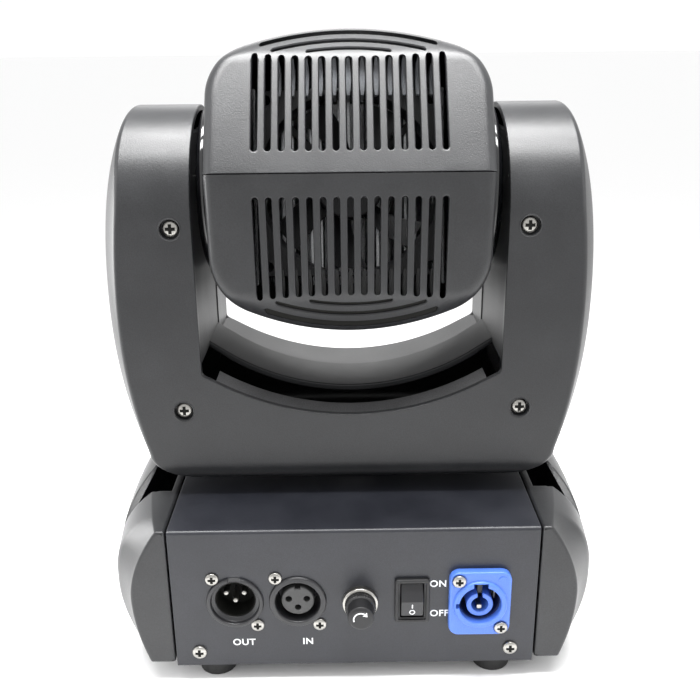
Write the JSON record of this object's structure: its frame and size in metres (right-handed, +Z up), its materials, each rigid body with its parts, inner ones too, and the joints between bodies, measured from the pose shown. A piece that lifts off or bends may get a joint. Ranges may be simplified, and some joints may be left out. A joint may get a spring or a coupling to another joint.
{
  "type": "moving head light",
  "caption": "Compact LED moving head: a vented head tilts in a U-shaped yoke that pans on a base with data sockets, mains inlet, rocker switch, fuse, display and side hand pockets.",
  "frame": {"origin": "on the pan axis, in the plane that the feet stand on, which is also the middle of the object's bottom", "axes": "+Z up along the pan axis; -Y towards the connector panel, +Y towards the display panel and the beam at rest; +X to the right as seen from the connector panel"},
  "size_m": [0.224, 0.1758, 0.2802],
  "materials": {
    "shell_plastic": "satin, finely moulded",
    "yoke_liner": "satin",
    "coated_sheet": "satin powder coat",
    "rubber": "matte",
    "belt_rubber": "matte",
    "black_plastic": "matte",
    "grey_plastic": "matte",
    "blue_plastic": "satin",
    "plated_steel": "bright plated",
    "gloss_black": "gloss",
    "board": "solder mask",
    "aluminium": "machined",
    "bearing_steel": "ground",
    "lens": "clear"
  },
  "bodies": {
    "base": {"base_cover": "coated_sheet", "bottom_plate": "coated_sheet", "left_end_cap": "shell_plastic", "right_end_cap": "shell_plastic", "rear_left_foot": "rubber", "rear_right_foot": "rubber", "front_left_foot": "rubber", "front_right_foot": "rubber", "xlr_out_socket": "black_plastic", "xlr_in_socket": "grey_plastic", "fuse_holder": "plated_steel", "switch_bezel": "black_plastic", "mains_inlet": "blue_plastic", "panel_screw_1": "plated_steel", "panel_screw_2": "plated_steel", "connector_screw_1": "plated_steel", "connector_screw_2": "plated_steel", "connector_screw_3": "plated_steel", "connector_screw_4": "plated_steel", "connector_screw_5": "plated_steel", "connector_screw_6": "plated_steel", "display_window": "gloss_black", "display_board": "board", "power_supply": "aluminium", "main_board": "board", "pan_motor": "bearing_steel", "pan_belt": "belt_rubber", "pan_bearing": "bearing_steel"},
    "yoke": {"yoke_frame": "yoke_liner", "yoke_rear_cover": "shell_plastic", "yoke_front_cover": "shell_plastic", "pan_shaft": "bearing_steel", "yoke_screw_1": "plated_steel", "yoke_screw_2": "plated_steel", "yoke_screw_3": "plated_steel", "yoke_screw_4": "plated_steel", "tilt_bearing_left": "bearing_steel", "tilt_bearing_right": "bearing_steel", "tilt_motor": "bearing_steel", "tilt_belt": "belt_rubber"},
    "head": {"head_upper_shell": "shell_plastic", "head_lower_shell": "shell_plastic", "front_bezel": "shell_plastic", "lens_mask": "black_plastic", "lens_array": "lens", "led_board": "board", "heatsink": "aluminium", "fan_frame": "black_plastic", "tilt_hub_left": "gloss_black", "tilt_hub_right": "gloss_black", "tilt_pulley": "aluminium"},
    "fan_rotor": {"fan_rotor": "black_plastic"},
    "pan_motor_pulley": {"pan_motor_pulley": "aluminium"},
    "tilt_motor_pulley": {"tilt_motor_pulley": "aluminium"},
    "switch_rocker": {"switch_rocker": "gloss_black"},
    "fuse_cap": {"fuse_cap": "black_plastic"},
    "mode_button": {"mode_button": "black_plastic"},
    "enter_button": {"enter_button": "black_plastic"},
    "up_button": {"up_button": "black_plastic"},
    "down_button": {"down_button": "black_plastic"}
  },
  "joints": [
    {"name": "pan", "type": "hinge", "parent": "base", "child": "yoke", "pos_m": [0, 0, 0.08], "axis": [0, 0, 1], "range_deg": [-270, 270]},
    {"name": "tilt", "type": "hinge", "parent": "yoke", "child": "head", "pos_m": [0, 0, 0.211], "axis": [1, 0, 0], "range_deg": [-11, 219]},
    {"name": "fan_spin", "type": "hinge", "parent": "head", "child": "fan_rotor", "pos_m": [0, 0, 0.211], "axis": [0, 0.9703, -0.2419], "continuous": true},
    {"name": "pan_motor_spin", "type": "hinge", "parent": "base", "child": "pan_motor_pulley", "pos_m": [0, 0.044, 0.062], "axis": [0, 0, 1], "range_deg": [-1010, 1010]},
    {"name": "tilt_motor_spin", "type": "hinge", "parent": "yoke", "child": "tilt_motor_pulley", "pos_m": [0.0872, 0, 0.142], "axis": [1, 0, 0], "range_deg": [-36, 664]},
    {"name": "rocker_tip", "type": "hinge", "parent": "base", "child": "switch_rocker", "pos_m": [0.0253, -0.0744, 0.0421], "axis": [1, 0, 0], "range_deg": [0, 16]},
    {"name": "fuse_cap_turn", "type": "hinge", "parent": "base", "child": "fuse_cap", "pos_m": [0.0025, -0.07, 0.0413], "axis": [0, 1, 0], "range_deg": [0, 90]},
    {"name": "mode_press", "type": "slide", "parent": "base", "child": "mode_button", "axis": [0, -1, 0], "range_m": [0, 0.0015], "stiffness_N_per_m": 400, "springref_m": -0.0005},
    {"name": "enter_press", "type": "slide", "parent": "base", "child": "enter_button", "axis": [0, -1, 0], "range_m": [0, 0.0015], "stiffness_N_per_m": 400, "springref_m": -0.0005},
    {"name": "up_press", "type": "slide", "parent": "base", "child": "up_button", "axis": [0, -1, 0], "range_m": [0, 0.0015], "stiffness_N_per_m": 400, "springref_m": -0.0005},
    {"name": "down_press", "type": "slide", "parent": "base", "child": "down_button", "axis": [0, -1, 0], "range_m": [0, 0.0015], "stiffness_N_per_m": 400, "springref_m": -0.0005}
  ],
  "couplings": [
    {"joint": "pan_motor_spin", "follows": "pan", "ratio": 3.7143},
    {"joint": "tilt_motor_spin", "follows": "tilt", "ratio": 3}
  ]
}
